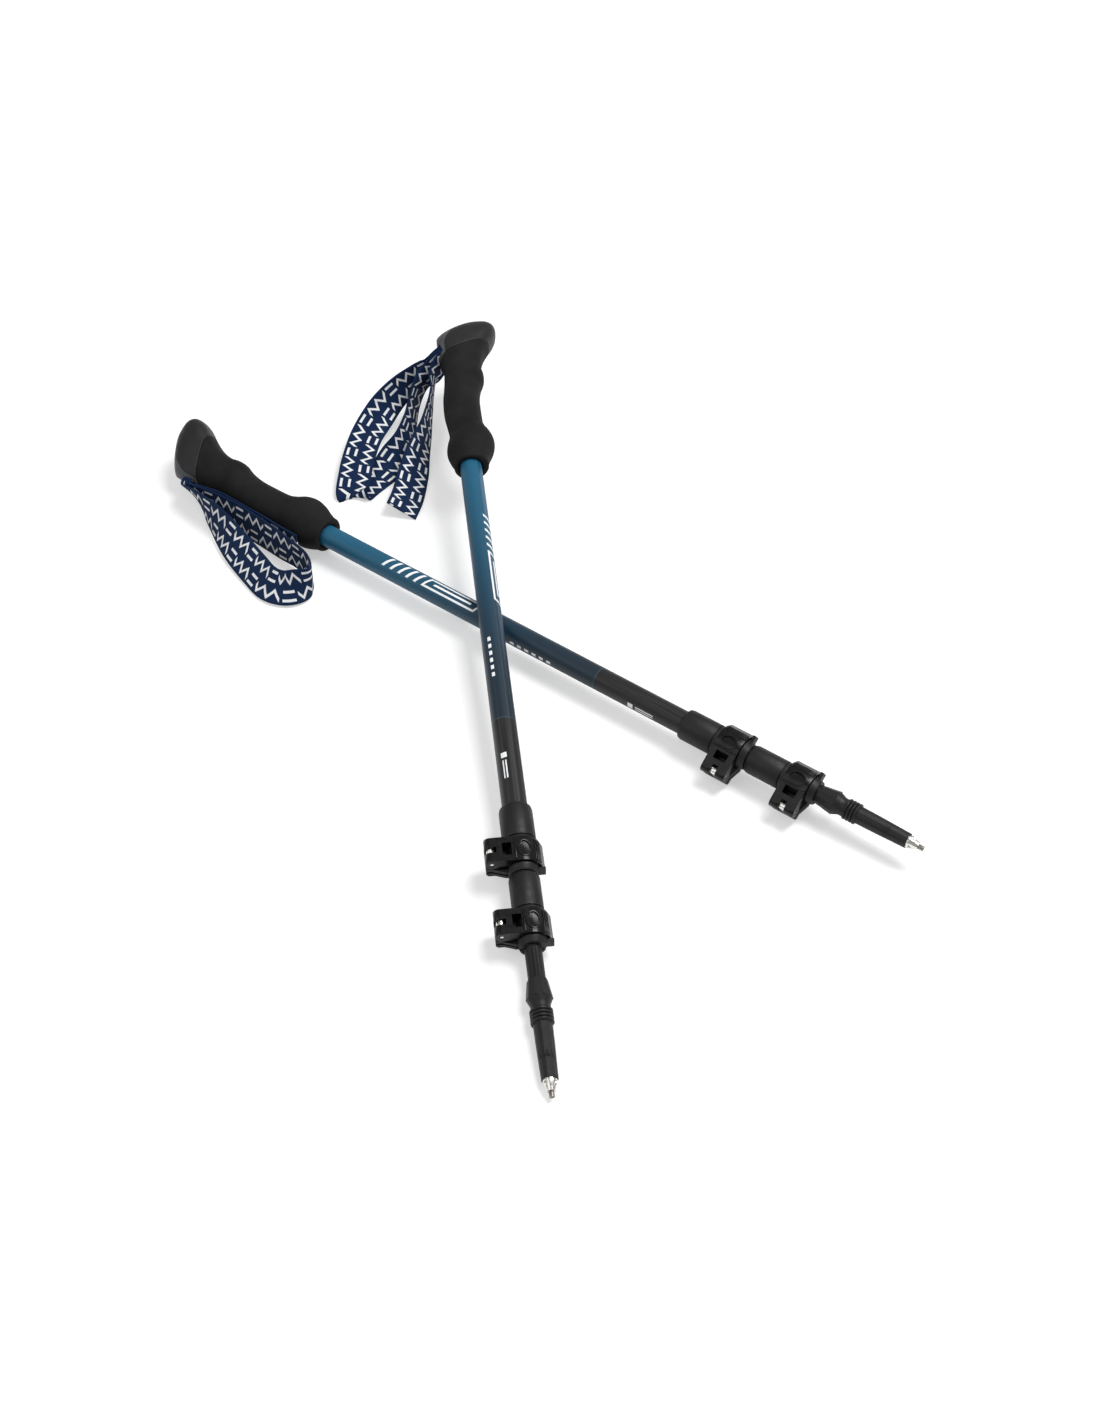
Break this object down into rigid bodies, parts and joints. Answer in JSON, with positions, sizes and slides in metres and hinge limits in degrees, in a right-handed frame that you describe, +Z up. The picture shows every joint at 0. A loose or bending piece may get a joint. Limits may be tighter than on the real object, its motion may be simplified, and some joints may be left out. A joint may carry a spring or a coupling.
{
  "type": "trekking poles",
  "caption": "Pair of telescoping trekking poles lying crossed, with contoured foam grips, printed webbing wrist straps, lever locks and metal tips.",
  "frame": {"origin": "on the ground, in the middle of the box around both poles as they lie crossed", "axes": "+Z up from the ground, +Y the way the second pole's grip points, +X to the right seen from its tip"},
  "size_m": [0.5107, 0.6622, 0.0704],
  "materials": {
    "grip_plastic": "satin moulded plastic",
    "cover_plastic": "satin grey plastic",
    "steel": "plain",
    "foam": "matte closed-cell foam",
    "upper_shaft_paint": "satin blue paint over carbon",
    "webbing": "woven navy webbing with a white print",
    "guide_plastic": "plain nylon",
    "carbon": "clear-coated carbon fibre",
    "ferrule_plastic": "moulded nylon",
    "lock_plastic": "fine textured nylon",
    "bush_plastic": "plain acetal",
    "lever_plastic": "satin moulded nylon",
    "bright_metal": "nickel plated",
    "nut_metal": "anodised",
    "carbide": "sintered carbide"
  },
  "bodies": {
    "first_pole": {"first_grip_head": "grip_plastic", "first_rear_cover": "cover_plastic", "first_strap_pin": "steel", "first_wrist_strap": "webbing", "first_grip_foam": "foam", "first_upper_shaft": "upper_shaft_paint", "first_upper_lock_body": "lock_plastic", "first_upper_lock_bush": "bush_plastic", "first_upper_lock_saddle": "bright_metal", "first_upper_lock_screw": "bright_metal", "first_upper_lock_pivot": "bright_metal"},
    "first_upper_lever": {"first_upper_lock_lever": "lever_plastic"},
    "first_upper_nut": {"first_upper_lock_nut": "nut_metal"},
    "first_middle_slider": {"first_middle_guide": "guide_plastic"},
    "first_middle_section": {"first_middle_shaft": "carbon", "first_lower_lock_body": "lock_plastic", "first_lower_lock_bush": "bush_plastic", "first_lower_lock_saddle": "bright_metal", "first_lower_lock_screw": "bright_metal", "first_lower_lock_pivot": "bright_metal"},
    "first_lower_lever": {"first_lower_lock_lever": "lever_plastic"},
    "first_lower_nut": {"first_lower_lock_nut": "nut_metal"},
    "first_lower_slider": {"first_lower_guide": "guide_plastic"},
    "first_lower_section": {"first_lower_shaft": "carbon", "first_ferrule": "ferrule_plastic", "first_tip_crown": "bright_metal", "first_carbide_tip": "carbide"},
    "second_pole": {"second_grip_head": "grip_plastic", "second_rear_cover": "cover_plastic", "second_strap_pin": "steel", "second_wrist_strap": "webbing", "second_grip_foam": "foam", "second_upper_shaft": "upper_shaft_paint", "second_upper_lock_body": "lock_plastic", "second_upper_lock_bush": "bush_plastic", "second_upper_lock_saddle": "bright_metal", "second_upper_lock_screw": "bright_metal", "second_upper_lock_pivot": "bright_metal"},
    "second_upper_lever": {"second_upper_lock_lever": "lever_plastic"},
    "second_upper_nut": {"second_upper_lock_nut": "nut_metal"},
    "second_middle_slider": {"second_middle_guide": "guide_plastic"},
    "second_middle_section": {"second_middle_shaft": "carbon", "second_lower_lock_body": "lock_plastic", "second_lower_lock_bush": "bush_plastic", "second_lower_lock_saddle": "bright_metal", "second_lower_lock_screw": "bright_metal", "second_lower_lock_pivot": "bright_metal"},
    "second_lower_lever": {"second_lower_lock_lever": "lever_plastic"},
    "second_lower_nut": {"second_lower_lock_nut": "nut_metal"},
    "second_lower_slider": {"second_lower_guide": "guide_plastic"},
    "second_lower_section": {"second_lower_shaft": "carbon", "second_ferrule": "ferrule_plastic", "second_tip_crown": "bright_metal", "second_carbide_tip": "carbide"}
  },
  "joints": [
    {"name": "first_middle_slide", "type": "slide", "parent": "first_pole", "child": "first_middle_slider", "axis": [0.7965, -0.6046, 0.0025], "range_m": [0, 0.35]},
    {"name": "first_middle_twist", "type": "hinge", "parent": "first_middle_slider", "child": "first_middle_section", "pos_m": [-0.1818, 0.16389, 0.01686], "axis": [0.7965, -0.6046, 0.0025], "continuous": true},
    {"name": "first_lower_slide", "type": "slide", "parent": "first_middle_section", "child": "first_lower_slider", "axis": [0.7965, -0.6046, 0.0025], "range_m": [0, 0.35]},
    {"name": "first_lower_twist", "type": "hinge", "parent": "first_lower_slider", "child": "first_lower_section", "pos_m": [-0.16428, 0.15059, 0.01691], "axis": [0.7965, -0.6046, 0.0025], "continuous": true},
    {"name": "first_upper_lever_swing", "type": "hinge", "parent": "first_pole", "child": "first_upper_lever", "pos_m": [0.13247, -0.09973, 0.01416], "axis": [0.7965, -0.6046, 0.0025], "range_deg": [0, 120]},
    {"name": "first_upper_nut_turn", "type": "hinge", "parent": "first_pole", "child": "first_upper_nut", "pos_m": [0.13677, -0.0941, 0.00404], "axis": [-0.3484, -0.4556, 0.8191], "continuous": true},
    {"name": "first_lower_lever_swing", "type": "hinge", "parent": "first_middle_section", "child": "first_lower_lever", "pos_m": [0.17337, -0.1292, 0.01406], "axis": [0.7965, -0.6046, 0.0025], "range_deg": [0, 120]},
    {"name": "first_lower_nut_turn", "type": "hinge", "parent": "first_middle_section", "child": "first_lower_nut", "pos_m": [0.17736, -0.12399, 0.00468], "axis": [-0.3484, -0.4556, 0.8191], "continuous": true},
    {"name": "second_pole_lift", "type": "slide", "parent": "first_pole", "child": "second_pole", "axis": [0, 0, 1], "range_m": [0, 0.2]},
    {"name": "second_middle_slide", "type": "slide", "parent": "second_pole", "child": "second_middle_slider", "axis": [0.1163, -0.99, -0.0796], "range_m": [0, 0.35]},
    {"name": "second_middle_twist", "type": "hinge", "parent": "second_middle_slider", "child": "second_middle_section", "pos_m": [-0.03702, 0.23209, 0.04941], "axis": [0.1163, -0.99, -0.0796], "continuous": true},
    {"name": "second_lower_slide", "type": "slide", "parent": "second_middle_section", "child": "second_lower_slider", "axis": [0.1163, -0.99, -0.0796], "range_m": [-0.021, 0.329]},
    {"name": "second_lower_twist", "type": "hinge", "parent": "second_lower_slider", "child": "second_lower_section", "pos_m": [-0.03202, 0.18952, 0.04599], "axis": [0.1163, -0.99, -0.0796], "continuous": true},
    {"name": "second_upper_lever_swing", "type": "hinge", "parent": "second_pole", "child": "second_upper_lever", "pos_m": [-0.00767, -0.17635, 0.02517], "axis": [0.1163, -0.99, -0.0796], "range_deg": [0, 120]},
    {"name": "second_upper_nut_turn", "type": "hinge", "parent": "second_pole", "child": "second_upper_nut", "pos_m": [-0.00778, -0.17537, 0.01286], "axis": [0.0093, -0.0791, 0.9968], "continuous": true},
    {"name": "second_lower_lever_swing", "type": "hinge", "parent": "second_middle_section", "child": "second_lower_lever", "pos_m": [-0.00092, -0.22606, 0.02026], "axis": [0.1163, -0.99, -0.0796], "range_deg": [0, 120]},
    {"name": "second_lower_nut_turn", "type": "hinge", "parent": "second_middle_section", "child": "second_lower_nut", "pos_m": [-0.00103, -0.22516, 0.00885], "axis": [0.0093, -0.0791, 0.9968], "continuous": true}
  ]
}
